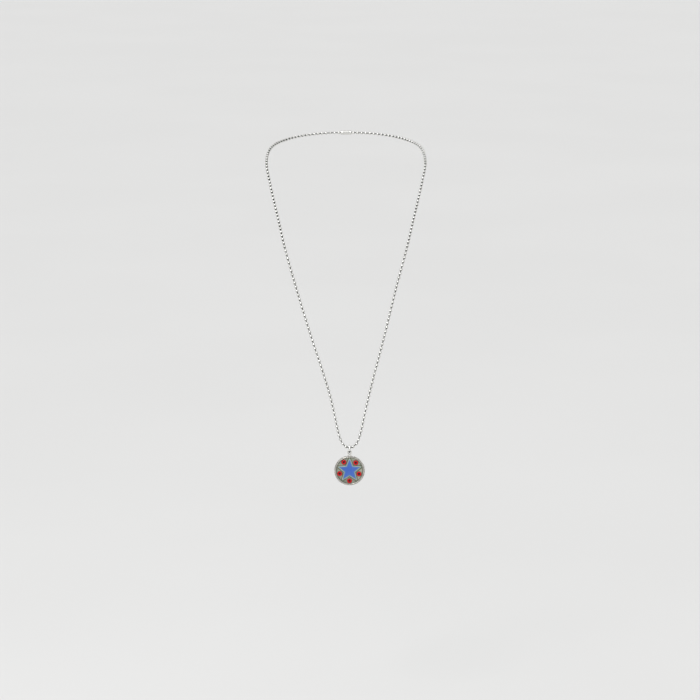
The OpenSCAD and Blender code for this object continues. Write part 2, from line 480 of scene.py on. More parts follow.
def new_tree(name, sizes):
    """Geometry Nodes tree with a geometry and the named sizes as its inputs, and those inputs."""
    tree = bpy.data.node_groups.new(name, "GeometryNodeTree")
    tree.interface.new_socket("Geometry", in_out="INPUT", socket_type="NodeSocketGeometry")
    for label, kind in sizes.items():
        tree.interface.new_socket(label, in_out="INPUT", socket_type="NodeSocket" + kind)
    tree.interface.new_socket("Geometry", in_out="OUTPUT", socket_type="NodeSocketGeometry")
    return tree, tree.nodes.new("NodeGroupInput").outputs


def end_tree(tree, geometry, material):
    """Ends a tree with smooth, realized geometry of one material."""
    real = made(tree, "GeometryNodeRealizeInstances", {0: geometry})
    smooth = made(tree, "GeometryNodeSetShadeSmooth", {0: real})
    painted = made(tree, "GeometryNodeSetMaterial", {"Geometry": smooth, "Material": material})
    add(tree, "NodeGroupOutput", {0: painted})


def onto_pendant(tree, geometry):
    """Turns geometry made flat about the origin to the front, at the pendant's middle."""
    return made(tree, "GeometryNodeTransform", {
        "Geometry": geometry, "Translation": PENDANT_MIDDLE, "Rotation": (QUARTER_TURN, 0, 0),
    })


def grow(name, tree, sizes, start=None):
    """Object with the plain mesh that the tree makes at the given sizes, from the starting mesh if any."""
    host = put_in_scene(name, start or bpy.data.meshes.new(name + "_start"))
    maker = host.modifiers.new("grow", "NODES")
    maker.node_group = tree
    for item in tree.interface.items_tree:
        if item.in_out == "INPUT" and item.name in sizes:
            maker[item.identifier] = sizes[item.name]
    host.data = applied(host)
    host.data.set_sharp_from_angle(angle=math.radians(SHARP_ANGLE))
    return host


# Materials
def paint(name, roughness, metallic=0.0, specular=0.5):
    """New material, its tree and its shader."""
    material = bpy.data.materials.new(name)
    material.use_nodes = True
    tree = material.node_tree
    shader = tree.nodes["Principled BSDF"]
    shader.inputs["Roughness"].default_value = roughness
    shader.inputs["Metallic"].default_value = metallic
    shader.inputs["Specular IOR Level"].default_value = specular
    return material, tree, shader


def on_object(tree):
    return add(tree, "ShaderNodeTexCoord").outputs["Object"]


def on_pendant(tree):
    """Place from the pendant's middle, its two coordinates in the plane and its height towards the front."""
    place = made(tree, "ShaderNodeMapping", {"Vector": on_object(tree), "Location": -PENDANT_MIDDLE})
    parts = parts_of(tree, place)
    return place, parts["X"], parts["Z"], times(tree, parts["Y"], -1.0)


def attribute(tree, name):
    return add(tree, "ShaderNodeAttribute", attribute_name=name).outputs["Fac"]


def blend_colors(tree, factor, first, second):
    mix = add(tree, "ShaderNodeMix", {"Factor": factor, "A": first, "B": second}, data_type="RGBA")
    return enabled(mix.outputs, "Result")


def tint(tree, color, mask, tone, share):
    """Lays a tone over a colour, up to that share where the mask is full."""
    return blend_colors(tree, times(tree, mask, share), color, tone)


def set_color(tree, shader, color):
    tree.links.new(color, shader.inputs["Base Color"])


def set_roughness(tree, shader, mask, at_low, at_high, low=0.3, high=0.7):
    """Roughness that changes smoothly while the mask goes from low to high."""
    tree.links.new(fade(tree, mask, low, high, at_low, at_high), shader.inputs["Roughness"])


def bump(tree, shader, height, distance, strength):
    node = add(tree, "ShaderNodeBump", {"Height": height, "Distance": distance, "Strength": strength})
    tree.links.new(node.outputs[0], shader.inputs["Normal"])


def chain_steel():
    """Polished on the belts of the balls, with painted shade at their poles and on the pins between them."""
    material, tree, shader = paint("chain_steel", roughness=0.2, metallic=1.0)
    bright = blend_colors(tree, attribute(tree, "tone"), BALL_DULL, BALL_BRIGHT)
    # Painted shade at the poles and on the pins, fading out towards each ball's belt
    unshaded = fade(tree, attribute(tree, "belt"), 0.2, 0.42)
    set_color(tree, shader, blend_colors(tree, unshaded, BALL_SHADE, bright))
    wear = noise(tree, on_object(tree), scale=1400.0, detail=3.0, seed=1.0)
    set_roughness(tree, shader, wear, at_low=0.24, at_high=0.36)
    return material


def ring_steel():
    """Polished wire with fine drawing marks, with painted shade on its lower part where it runs in the
    eyelet.
    """
    material, tree, shader = paint("ring_steel", roughness=0.16, metallic=1.0)
    place = on_object(tree)
    marks = noise(tree, place, scale=2200.0, detail=4.0, seed=2.0)
    polished = blend_colors(tree, fade(tree, marks, 0.35, 0.7), RING_BRIGHT, RING_DULL)
    up = parts_of(tree, place)["Z"]
    # Painted shade on the lower part of the wire, where it runs in the eyelet
    unshaded = fade(tree, up, RING_MIDDLE.z - 1.5 * MM, RING_MIDDLE.z - 0.8 * MM)
    set_color(tree, shader, blend_colors(tree, unshaded, RING_SHADE, polished))
    set_roughness(tree, shader, marks, at_low=0.12, at_high=0.26)
    return material


def clasp_steel():
    """Pressed sheet, duller than the balls, with painted shade inside and a little along the slot."""
    material, tree, shader = paint("clasp_steel", roughness=0.3, metallic=1.0)
    place = on_object(tree)
    rubbed = noise(tree, place, scale=900.0, detail=4.0, seed=13.0)
    worn = blend_colors(tree, fade(tree, rubbed, 0.3, 0.7), CLASP_DULL, CLASP_BRIGHT)
    # Painted shade along the slot and inside the sleeve
    slot_y = CLASP_MIDDLE_Y + CLASP_R
    at_slot = fade(tree, parts_of(tree, place)["Y"], slot_y - 0.2 * CLASP_R, slot_y)
    inside = times(tree, attribute(tree, "inside"), CLASP_INSIDE_SHADE)
    dark = larger(tree, times(tree, at_slot, CLASP_SLOT_SHADE), inside)
    set_color(tree, shader, blend_colors(tree, dark, worn, CLASP_SHADE))
    set_roughness(tree, shader, rubbed, at_low=0.34, at_high=0.2)
    dents = noise(tree, place, scale=1800.0, detail=2.0, seed=14.0)
    bump(tree, shader, dents, distance=0.01 * MM, strength=0.5)
    return material


def tray_silver():
    """Old silver: bright on the lip, the beads and the brushed back, with blotches of tarnish and painted
    shade inside the tray and in the gaps and at the roots of the beads.
    """
    material, tree, shader = paint("tray_silver", roughness=0.28, metallic=1.0)
    place, u, v, height = on_pendant(tree)
    radius = from_middle(tree, u, v)
    back = -TRAY_DEPTH / 2
    # Painted shade inside the tray, in the gaps between the beads and at their roots
    in_field = fade(tree, radius, FIELD_R + 0.05 * MM, FIELD_R - 0.05 * MM)
    well = times(tree, in_field, fade(tree, height, back + 0.05 * MM, back + 0.2 * MM))
    beyond = fade(tree, radius, TRAY_R - 0.08 * MM, TRAY_R + 0.02 * MM)
    turn = calc(tree, "PINGPONG", from_upright(tree, u, v), math.pi / EDGE_BEADS)
    off_bead = fade(tree, times(tree, turn, radius), 0.24 * MM, 0.44 * MM)
    gap = times(tree, off_bead, fade(tree, radius, TRAY_R + 0.05 * MM, TRAY_R + 0.15 * MM))
    at_root = fade(tree, radius, EDGE_BEAD_R, EDGE_BEAD_R - 0.18 * MM)
    below = fade(tree, height, EDGE_BEAD_H + 0.4 * MM, EDGE_BEAD_H - 0.15 * MM)
    above = fade(tree, height, EDGE_BEAD_H - 1.2 * MM, EDGE_BEAD_H - 0.7 * MM)
    crease = times(tree, times(tree, at_root, below), above)
    hollow = times(tree, beyond, larger(tree, gap, crease))
    dark = larger(tree, times(tree, hollow, CREASE_SHADE), times(tree, well, WELL_SHADE))
    worn = fade(tree, radius, TRAY_R - 0.15 * MM, TRAY_R + 0.1 * MM, out_low=0.08, out_high=0.16)
    blotchy = fade(tree, radius, TRAY_R - 0.3 * MM, TRAY_R + 0.1 * MM, out_low=0.08, out_high=0.4)
    patches = mottle(tree, place, scale=700.0, detail=4.0, seed=3.0, low=0.35, high=0.65)
    dark = larger(tree, dark, plus(tree, worn, times(tree, patches, blotchy)))
    set_color(tree, shader, blend_colors(tree, dark, TRAY_BRIGHT, TRAY_TARNISH_AND_SHADE))
    stretched = made(tree, "ShaderNodeMapping", {"Vector": place, "Scale": (0.06, 1, 1)})
    brushed = noise(tree, stretched, scale=5000.0, detail=3.0, seed=18.0)
    set_roughness(tree, shader, brushed, at_low=0.24, at_high=0.4)
    dents = noise(tree, place, scale=1500.0, detail=3.0, seed=4.0)
    bump(tree, shader, plus(tree, dents, brushed), distance=0.015 * MM, strength=0.5)
    return material


def eyelet_silver():
    """Polished, with painted shade in the corners at the tray and where its legs part, and faint tarnish
    patches.
    """
    material, tree, shader = paint("eyelet_silver", roughness=0.24, metallic=1.0)
    place, u, v = on_pendant(tree)[:3]
    aside = calc(tree, "ABSOLUTE", u)
    foot = fade(tree, v, TRAY_R + 0.5 * MM, TRAY_R)
    outer = times(tree, foot, fade(tree, aside, FOOT_SPREAD - 0.1 * MM, FOOT_SPREAD + 0.3 * MM))
    loop_v = EYELET_HEIGHT - EYELET_R
    under_loop = fade(tree, v, loop_v - 0.2 * MM, loop_v - 0.5 * MM)
    fork = times(tree, fade(tree, aside, 0.5 * MM, 0.1 * MM), under_loop)
    # Painted shade in the corners at the feet and where the legs part
    corners = times(tree, larger(tree, outer, fork), EYELET_SHADE)
    patches = mottle(tree, place, scale=900.0, detail=4.0, seed=15.0, low=0.35, high=0.65)
    dark = larger(tree, corners, times(tree, patches, 0.1))
    set_color(tree, shader, blend_colors(tree, dark, EYELET_BRIGHT, EYELET_TARNISH_AND_SHADE))
    set_roughness(tree, shader, patches, at_low=0.18, at_high=0.34, low=0.0, high=1.0)
    dents = noise(tree, place, scale=1500.0, detail=3.0, seed=16.0)
    bump(tree, shader, dents, distance=0.015 * MM, strength=0.5)
    return material


def ground_enamel():
    """Mottled grey-green, with a thin olive line round the star, painted shade round each stud and a band of
    painted shade inside the tray's wall.
    """
    material, tree, shader = paint("ground_enamel", roughness=0.42, specular=0.3)
    place, u, v = on_pendant(tree)[:3]
    waver = ripple(tree, place, scale=600.0, detail=3.0, seed=5.0, depth=0.4 * MM)
    outside = plus(tree, star_distance(tree, u, v), waver)
    off_line = calc(tree, "ABSOLUTE", minus(tree, outside, OLIVE_LINE_OUT))
    line = fade(tree, off_line, 0.36 * MM, 0.14 * MM)
    strength = mottle(tree, place, scale=500.0, detail=2.0, seed=17.0, high=0.6, least=0.6)
    # Painted shade in a band inside the tray's wall
    rim = fade(tree, plus(tree, from_middle(tree, u, v), waver), FIELD_R - 0.9 * MM, FIELD_R - 0.1 * MM)
    # Painted shade round the foot of each stud
    stud = fade(tree, stud_distance(tree, u, v), STUD_D / 2 + 0.45 * MM, STUD_D / 2 + 0.05 * MM)
    cloudy = mottle(tree, place, scale=420.0, detail=5.0, seed=6.0, low=0.35, high=0.68)
    grain = mottle(tree, place, scale=2400.0, detail=2.0, seed=7.0, low=0.45, high=0.75)
    color = blend_colors(tree, cloudy, GROUND_DEEP, GROUND_PALE)
    color = tint(tree, color, grain, GROUND_GRAIN, share=0.35)
    color = tint(tree, color, line, GROUND_OLIVE, share=strength)
    color = tint(tree, color, stud, GROUND_STUD_SHADE, share=0.5)
    color = tint(tree, color, rim, GROUND_RIM_SHADE, share=0.65)
    set_color(tree, shader, color)
    bump(tree, shader, minus(tree, cloudy, line), distance=0.04 * MM, strength=0.6)
    return material


def line_enamel():
    """Pale mint line with a chalky bloom."""
    material, tree, shader = paint("line_enamel", roughness=0.45, specular=0.3)
    bloom = mottle(tree, on_pendant(tree)[0], scale=1100.0, detail=3.0, seed=8.0)
    set_color(tree, shader, blend_colors(tree, bloom, LINE_MINT, LINE_BLOOM))
    bump(tree, shader, bloom, distance=0.02 * MM, strength=0.5)
    return material


def star_enamel():
    """Blue, paler towards the edges."""
    material, tree, shader = paint("star_enamel", roughness=0.3, specular=0.3)
    place, u, v = on_pendant(tree)[:3]
    cloudy = mottle(tree, place, scale=500.0, detail=4.0, seed=9.0, low=0.35)
    inward = times(tree, star_distance(tree, u, v), -1.0)
    worn = plus(tree, inward, times(tree, cloudy, 0.3 * MM))
    edge = fade(tree, worn, 1.1 * MM, 0.1 * MM)
    color = blend_colors(tree, cloudy, STAR_BLUE, STAR_PALE)
    set_color(tree, shader, tint(tree, color, edge, STAR_EDGE, share=0.6))
    bump(tree, shader, cloudy, distance=0.02 * MM, strength=0.4)
    return material


def stud_enamel():
    """Glossy red glass, with painted shade deepening towards its foot and almost black down in the hole."""
    material, tree, shader = paint("stud_enamel", roughness=0.12, specular=0.28)
    place, u, v = on_pendant(tree)[:3]
    away = stud_distance(tree, u, v)
    hole_r = STUD_HOLE_D / 2
    crown_r = (STUD_D / 2 + hole_r) / 2
    # Painted shade towards the foot and down in the hole
    foot_shade = fade(tree, away, crown_r + 0.25 * MM, STUD_D / 2)
    hole = fade(tree, away, hole_r + 0.22 * MM, hole_r + 0.04 * MM)
    streaks = mottle(tree, place, scale=800.0, detail=3.0, seed=10.0, low=0.35)
    color = blend_colors(tree, streaks, STUD_RED, STUD_PALE)
    color = blend_colors(tree, foot_shade, color, STUD_FOOT_SHADE)
    set_color(tree, shader, blend_colors(tree, hole, color, STUD_HOLE_SHADE))
    return material


def centre_enamel():
    """Violet-black glass in the studs' holes, dark to stand for the shade down in them."""
    material, tree, shader = paint("centre_enamel", roughness=0.1, specular=0.25)
    spots = mottle(tree, on_pendant(tree)[0], scale=1600.0, detail=2.0, seed=11.0, low=0.4)
    set_color(tree, shader, blend_colors(tree, spots, CENTRE_SHADE_VIOLET, CENTRE_SHADE_PALE))
    return material


def floor_paper():
    material, tree, shader = paint("floor_paper", roughness=0.8, specular=0.1)
    fibre = mottle(tree, on_object(tree), scale=3.0, detail=3.0, seed=12.0)
    set_color(tree, shader, blend_colors(tree, fibre, FLOOR_DULL, FLOOR_PALE))
    return material


# Mesh helpers
def finished(name, mesh_or_object, body, slot, *nodes):
    """Names a piece, sets it on its body and hides the nodes that it stands for. The slot is not used."""
    piece = mesh_or_object
    if isinstance(piece, bpy.types.Mesh):
        piece = put_in_scene(name, piece)
    piece.name = name
    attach(piece, body)
    if nodes:
        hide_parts(*nodes)


def span_rows(form, here, there, around=True):
    """Faces between two rows of equal counts, all the way around or from end to end."""
    count = len(here)
    for k in range(count if around else count - 1):
        form.faces.new((here[k], here[(k + 1) % count], there[(k + 1) % count], there[k]))


def mesh_of(name, form):
    """Mesh of a form, its faces turned outwards."""
    bmesh.ops.recalc_face_normals(form, faces=form.faces)
    mesh = bpy.data.meshes.new(name)
    form.to_mesh(mesh)
    form.free()
    return mesh


def loft(name, rings, material, closed=True, poles=False):
    """Smooth mesh through rings of equal counts.

    Closed joins the last ring to the first, else the ends get caps. With poles, each ring is an open line
    that starts and ends on the axis.
    """
    form = bmesh.new()
    rows = [[form.verts.new(p) for p in ring] for ring in rings]
    for i in range(len(rows) if closed else len(rows) - 1):
        span_rows(form, rows[i], rows[(i + 1) % len(rows)], around=not poles)
    if not closed:
        form.faces.new(rows[0])
        form.faces.new(rows[-1])
    bmesh.ops.remove_doubles(form, verts=form.verts, dist=MERGE_DISTANCE)
    return smoothed(mesh_of(name, form), material)


def smoothed(mesh, material):
    """Gives a mesh its material and smooth shading, with its corners kept sharp."""
    mesh.shade_smooth()
    mesh.set_sharp_from_angle(angle=math.radians(SHARP_ANGLE))
    mesh.materials.clear()
    mesh.materials.append(material)
    return mesh


def applied(host):
    """Plain mesh of an object with its modifiers, which are then removed."""
    graph = bpy.context.evaluated_depsgraph_get()
    mesh = bpy.data.meshes.new_from_object(
        host.evaluated_get(graph), preserve_all_data_layers=True, depsgraph=graph
    )
    host.modifiers.clear()
    return mesh


def fused(name, mesh, material):
    """One softly blended body from a mesh that overlaps itself, remeshed with 1 m standing for 1 mm."""
    mesh.transform(Matrix.Scale(1 / MM, 4))
    host = put_in_scene(name, mesh)
    remesh = host.modifiers.new("fuse", "REMESH")
    remesh.mode = "VOXEL"
    remesh.voxel_size = FUSE_VOXEL / MM
    soften = host.modifiers.new("soften", "SMOOTH")
    soften.iterations = FUSE_PASSES
    whole = applied(host)
    whole.transform(Matrix.Scale(MM, 4))
    host.data = smoothed(whole, material)
    return host


def front(u, v, height):
    """Point of the pendant from its place in the plane and its height towards the front."""
    return PENDANT_MIDDLE + Vector((u, -height, v))


def arc(middle, radius, start, end, steps):
    """Points of an arc, with both its ends, angles in degrees."""
    angles = [math.radians(start + (end - start) * i / steps) for i in range(steps + 1)]
    return [(middle[0] + radius * math.cos(a), middle[1] + radius * math.sin(a)) for a in angles]


def lathe(name, profile, segments, material, middle=(0, 0)):
    """Profile of radius and height, turned about an axis that runs to the front through the given middle."""
    rings = []
    for i in range(segments):
        a = 2 * math.pi * i / segments
        rings.append([front(middle[0] + r * math.cos(a), middle[1] + r * math.sin(a), h) for r, h in profile])
    return loft(name, rings, material, poles=profile[0][0] == 0)


def tube(name, path, radii, material):
    """Round wire along a path, its radius given at each point."""
    rings = []
    across = None
    for i, point in enumerate(path):
        way = (path[min(i + 1, len(path) - 1)] - path[max(i - 1, 0)]).normalized()
        if across is None:
            across = way.orthogonal().normalized()
        across = (across - way * across.dot(way)).normalized()
        side = way.cross(across)
        rings.append([
            point + radii[i] * (across * math.cos(a) + side * math.sin(a))
            for a in (2 * math.pi * k / WIRE_SIDES for k in range(WIRE_SIDES))
        ])
    return loft(name, rings, material, closed=False)


# Ball chain
def lean_at(z):
    """How far the course is shifted to the right at a height."""
    return LEAN * max(0, min(1, (LEAN_NONE_Z - z) / (LEAN_NONE_Z - LEAN_FULL_Z)))


def station(side, i):
    """Point of the course on one side. Past the clasp it goes on down the other side."""
    if i >= len(STATIONS):
        mirrored = station(side, 2 * len(STATIONS) - 2 - i)
        return Vector((-mirrored.x, mirrored.y, mirrored.z))
    z, half, y = STATIONS[i]
    return Vector((side * half + lean_at(z), y, z))


def slope(side, i):
    """Direction of the course at a station, from the spans before and after it."""
    if i == 0:
        return (station(side, 1) - station(side, 0)).normalized()
    before = station(side, i) - station(side, i - 1)
    after = station(side, i + 1) - station(side, i)
    a, b = before.length, after.length
    return (before / a * b + after / b * a) / (a + b)


def on_span(side, i, t):
    """Point on the cubic from one station to the next."""
    start, end = station(side, i), station(side, i + 1)
    reach = (end - start).length
    return (
        (2 * t ** 3 - 3 * t ** 2 + 1) * start
        + (t ** 3 - 2 * t ** 2 + t) * reach * slope(side, i)
        + (3 * t ** 2 - 2 * t ** 3) * end
        + (t ** 3 - t ** 2) * reach * slope(side, i + 1)
    )


def course(name, side):
    """Polyline of one side's middle line."""
    last = len(STATIONS) - 1
    points = [on_span(side, i, k / SPAN_STEPS) for i in range(last) for k in range(SPAN_STEPS)]
    points.append(station(side, last))
    mesh = bpy.data.meshes.new(name)
    mesh.from_pydata(points, [(i, i + 1) for i in range(len(points) - 1)], [])
    return mesh


def store(tree, geometry, name, value, domain):
    """Keeps a number on the geometry, for its material to read."""
    sockets = {"Geometry": geometry, "Name": name, "Value": value}
    return made(tree, "GeometryNodeStoreNamedAttribute", sockets, data_type="FLOAT", domain=domain)


def turned_along(tree, way):
    return made(tree, "FunctionNodeAlignRotationToVector", {"Vector": way}, axis="Z")


def chain_ball(tree, radius, hole_depth):
    """Ball with its poles pressed in, marked from 0 at the poles to 1 round its belt."""
    sphere = made(tree, "GeometryNodeMeshUVSphere", {
        "Segments": BALL_SIDES, "Rings": BALL_RINGS, "Radius": radius,
    })
    z = parts_of(tree, made(tree, "GeometryNodeInputPosition"))["Z"]
    pole = calc(tree, "DIVIDE", calc(tree, "ABSOLUTE", z), radius)
    marked = store(tree, sphere, "belt", minus(tree, 1.0, pole), "POINT")
    press = times(tree, fade(tree, pole, HOLE_START, 1.0), hole_depth)
    inwards = times(tree, calc(tree, "SIGN", z), times(tree, press, -1.0))
    return made(tree, "GeometryNodeSetPosition", {"Geometry": marked, "Offset": along_z(tree, inwards)})


def chain_balls(tree, points, ball, first_place):
    """Balls along the course from the first place on, each with its own tone. The lowest one lies level."""
    index = made(tree, "GeometryNodeInputIndex")
    chosen = compare(tree, index, first_place, "INT", "GREATER_EQUAL")
    lowest = compare(tree, index, 0, "INT", "EQUAL")
    tangent = made(tree, "GeometryNodeInputTangent")
    choice = {"Switch": lowest, "False": tangent, "True": (1, 0, 0)}
    axis = made(tree, "GeometryNodeSwitch", choice, input_type="VECTOR")
    balls = made(tree, "GeometryNodeInstanceOnPoints", {
        "Points": points, "Selection": chosen, "Instance": ball, "Rotation": turned_along(tree, axis),
    })
    tone = add(tree, "FunctionNodeRandomValue", {"Seed": TONE_SEED}, data_type="FLOAT")
    return store(tree, balls, "tone", enabled(tone.outputs, "Value"), "INSTANCE")


def chain_pins(tree, points, ball_radius, link_d):
    """Pins between neighbouring balls, each ending half a radius from their middles."""
    wire = made(tree, "GeometryNodeCurveToMesh", {"Curve": points})
    ends = add(tree, "GeometryNodeInputMeshEdgeVertices").outputs
    capture = tree.nodes.new("GeometryNodeCaptureAttribute")
    capture.domain = "EDGE"
    capture.capture_items.new("VECTOR", "Way")
    tree.links.new(wire, capture.inputs[0])
    between = {0: ends["Position 2"], 1: ends["Position 1"]}
    tree.links.new(made(tree, "ShaderNodeVectorMath", between, operation="SUBTRACT"), capture.inputs[1])
    way = capture.outputs[1]
    middles = made(tree, "GeometryNodeMeshToPoints", {"Mesh": capture.outputs[0]}, mode="EDGES")
    reach = add(tree, "ShaderNodeVectorMath", {0: way}, operation="LENGTH").outputs["Value"]
    length = minus(tree, reach, ball_radius)
    pin = made(tree, "GeometryNodeMeshCylinder", {
        "Vertices": LINK_SIDES, "Radius": times(tree, link_d, 0.5), "Depth": 1.0,
    })
    return made(tree, "GeometryNodeInstanceOnPoints", {
        "Points": middles, "Instance": pin, "Rotation": turned_along(tree, way),
        "Scale": made(tree, "ShaderNodeCombineXYZ", {"X": 1.0, "Y": 1.0, "Z": length}),
    })


def chain_tree(material):
    """Evenly spaced balls with pressed-in holes, and the pins that link them."""
    tree, sizes = new_tree("ball_chain", {
        "Places": "Int",
        "First Place": "Int",
        "Ball Diameter": "Float",
        "Link Diameter": "Float",
        "Clasp Ball Gap": "Float",
        "Hole Depth": "Float",
    })
    line = made(tree, "GeometryNodeMeshToCurve", {0: sizes["Geometry"]})
    length = made(tree, "GeometryNodeCurveLength", {0: line})
    end = minus(tree, length, times(tree, sizes["Clasp Ball Gap"], 0.5))
    worn = made(tree, "GeometryNodeTrimCurve", {"Curve": line, "Start": 0.0, "End": end}, mode="LENGTH")
    spaced = made(tree, "GeometryNodeResampleCurve", {"Curve": worn, "Count": sizes["Places"]}, mode="COUNT")
    radius = times(tree, sizes["Ball Diameter"], 0.5)
    ball = chain_ball(tree, radius, sizes["Hole Depth"])
    balls = chain_balls(tree, spaced, ball, sizes["First Place"])
    pins = chain_pins(tree, spaced, radius, sizes["Link Diameter"])
    end_tree(tree, made(tree, "GeometryNodeJoinGeometry", {0: [balls, pins]}), material)
    return tree


def make_chain(material):
    """Two strands. The left one has the lowest ball."""
    tree = chain_tree(material)
    for name, side, first in (("chain_left", -1, 0), ("chain_right", 1, 1)):
        strand = grow(name + "_balls", tree, {
            "Places": PLACES_A_SIDE,
            "First Place": first,
            "Ball Diameter": BALL_D,
            "Link Diameter": LINK_D,
            "Clasp Ball Gap": CLASP_BALL_GAP,
            "Hole Depth": HOLE_DEPTH,
        }, start=course(name + "_course", side))
        finished(name + "_balls", strand, "necklace", "chain_steel", name)


# Clasp
def clasp_radius(x):
    """Outside of the sleeve, with round shoulders and a groove near each end."""
    shoulder = CLASP_R - CLASP_MOUTH_R - CLASP_WALL
    past = max(0, abs(x) - (CLASP_HALF - shoulder))
    radius = CLASP_R - shoulder + math.sqrt(shoulder ** 2 - past ** 2)
    from_groove = (abs(x) - CLASP_GROOVE_X) / CLASP_GROOVE_HALF
    return radius - CLASP_GROOVE_DEPTH * math.exp(-from_groove ** 2)


def clasp_section(x):
    """Points round the sleeve at one place, from edge to edge of the slot outside, and back inside."""
    slot = max(CLASP_SLOT_HALF, math.sqrt(max(0, CLASP_ENTRY_R ** 2 - x ** 2)))
    outer = clasp_radius(x)
    section = []
    for radius, way in ((outer, 1), (outer - CLASP_WALL, -1)):
        edge = math.asin(slot / radius)
        for k in range(CLASP_TURN_STEPS + 1)[::way]:
            a = edge + (2 * math.pi - 2 * edge) * k / CLASP_TURN_STEPS
            section.append(Vector((x, CLASP_MIDDLE_Y + radius * math.cos(a), radius * math.sin(a))))
    return section


def make_clasp(material):
    """Rolled sleeve with a slot along its back and an entry in the slot's middle."""
    form = bmesh.new()
    inside = form.verts.layers.float.new("inside")
    rows = []
    for i in range(CLASP_LENGTHS + 1):
        section = clasp_section(CLASP_HALF * (2 * i / CLASP_LENGTHS - 1))
        row = [form.verts.new(point) for point in section]
        for vert in row[len(row) // 2:]:
            vert[inside] = 1.0
        rows.append(row)
    for here, there in zip(rows, rows[1:]):
        span_rows(form, here, there)
    for row in (rows[0], rows[-1]):
        for k in range(len(row) // 2 - 1):
            form.faces.new((row[k], row[k + 1], row[-2 - k], row[-1 - k]))
    host = put_in_scene("clasp_sleeve", mesh_of("clasp_sleeve", form))
    soft_edge = host.modifiers.new("soft_edge", "BEVEL")
    soft_edge.width = CLASP_SOFT_EDGE
    soft_edge.segments = 2
    soft_edge.angle_limit = math.radians(SHARP_ANGLE)
    host.data = smoothed(applied(host), material)
    finished("clasp_sleeve", host, "necklace", "chain_steel", "clasp")


# Jump ring
def make_ring(material):
    """Wire round the lowest ball, with its cut at the back."""
    path = []
    for i in range(RING_STEPS + 1):
        a = math.radians(90 + RING_CUT_ANGLE / 2 + (360 - RING_CUT_ANGLE) * i / RING_STEPS)
        path.append(RING_MIDDLE + RING_R * Vector((0, math.sin(a), math.cos(a))))
    mesh = tube("jump_ring_wire", path, [RING_WIRE_D / 2] * len(path), material)
    finished("jump_ring_wire", mesh, "ring", "ring_steel", "jump_ring")


# Pendant
def make_tray(material):
    lip = (TRAY_R - FIELD_R) / 2
    back, top = -TRAY_DEPTH / 2, TRAY_DEPTH / 2
    floor = back + FLOOR_T
    profile = [(TRAY_R * k / TRAY_BACK_STEPS, back) for k in range(TRAY_BACK_STEPS)]
    profile += arc((TRAY_R - TRAY_CORNER, back + TRAY_CORNER), TRAY_CORNER, -90, 0, TRAY_CORNER_STEPS)
    profile += [(TRAY_R, 0)]
    profile += arc((TRAY_R - lip, top - lip), lip, 0, 180, TRAY_LIP_STEPS)
    profile += [(FIELD_R, floor), (FIELD_R / 2, floor), (0, floor)]
    mesh = lathe("tray_wall", profile, TRAY_SEGMENTS, material)
    finished("tray_wall", mesh, "pendant", "tray_silver", "bezel")


def make_edge_beads(material):
    """Beads round the tray, apart from the stretch under the eyelet's feet."""
    tree, sizes = new_tree("edge_beads", {
        "Beads": "Int",
        "Ring Radius": "Float",
        "Bead Diameter": "Float",
        "Bare Angle": "Float",
        "Height": "Float",
    })
    circle = made(tree, "GeometryNodeMeshCircle", {
        "Vertices": sizes["Beads"], "Radius": sizes["Ring Radius"],
    })
    upright = made(tree, "GeometryNodeTransform", {"Geometry": circle, "Rotation": (0, 0, QUARTER_TURN)})
    parts = parts_of(tree, made(tree, "GeometryNodeInputPosition"))
    off_top = from_upright(tree, parts["X"], parts["Y"])
    kept = compare(tree, off_top, sizes["Bare Angle"], "FLOAT", "GREATER_THAN")
    radius = times(tree, sizes["Bead Diameter"], 0.5)
    bead = made(tree, "GeometryNodeMeshUVSphere", {
        "Segments": EDGE_BEAD_SIDES, "Rings": EDGE_BEAD_RINGS, "Radius": radius,
    })
    beads = made(tree, "GeometryNodeInstanceOnPoints", {
        "Points": upright, "Selection": kept, "Instance": bead,
    })
    lift = along_z(tree, sizes["Height"])
    lifted = made(tree, "GeometryNodeTransform", {"Geometry": beads, "Translation": lift})
    end_tree(tree, onto_pendant(tree, lifted), material)
    ring = grow("edge_beads", tree, {
        "Beads": EDGE_BEADS,
        "Ring Radius": EDGE_BEAD_R,
        "Bead Diameter": EDGE_BEAD_D,
        "Bare Angle": math.radians(FOOT_BARE_ANGLE),
        "Height": EDGE_BEAD_H,
    })
    finished("edge_beads", ring, "pendant", "tray_silver")


def eyelet_leg(end, side):
    """Curve from one end of the loop down and outwards into the tray's wall."""
    foot_r = TRAY_R - FOOT_SINK
    foot = (side * FOOT_SPREAD, math.sqrt(foot_r ** 2 - FOOT_SPREAD ** 2))
    knee = (end[0] + side * KNEE_OUT, end[1] - KNEE_DROP)
    return [
        tuple((1 - t) ** 2 * end[k] + 2 * t * (1 - t) * knee[k] + t ** 2 * foot[k] for k in (0, 1))
        for t in (i / EYELET_LEG_STEPS for i in range(1, EYELET_LEG_STEPS + 1))
    ]


def make_eyelet(material):
    """Wire bent into a loop that closes at the bottom, with two legs that spread and thicken to the tray."""
    start = 270 + EYELET_OPEN_ANGLE / 2
    loop = arc((0, EYELET_HEIGHT), EYELET_R, start, start + 360 - EYELET_OPEN_ANGLE, EYELET_LOOP_STEPS)
    right, left = eyelet_leg(loop[0], 1), eyelet_leg(loop[-1], -1)
    flat = right[::-1] + loop + left
    slim, thick = EYELET_WIRE_D / 2, FOOT_D / 2
    widening = [slim + (thick - slim) * (i + 1) / len(right) for i in range(len(right))]
    radii = widening[::-1] + [slim] * len(loop) + widening
    path = [front(u, v, -EYELET_BACK) for u, v in flat]
    wire = tube("eyelet", path, radii, material)
    finished("eyelet", fused("eyelet", wire, material), "pendant", "tray_silver")


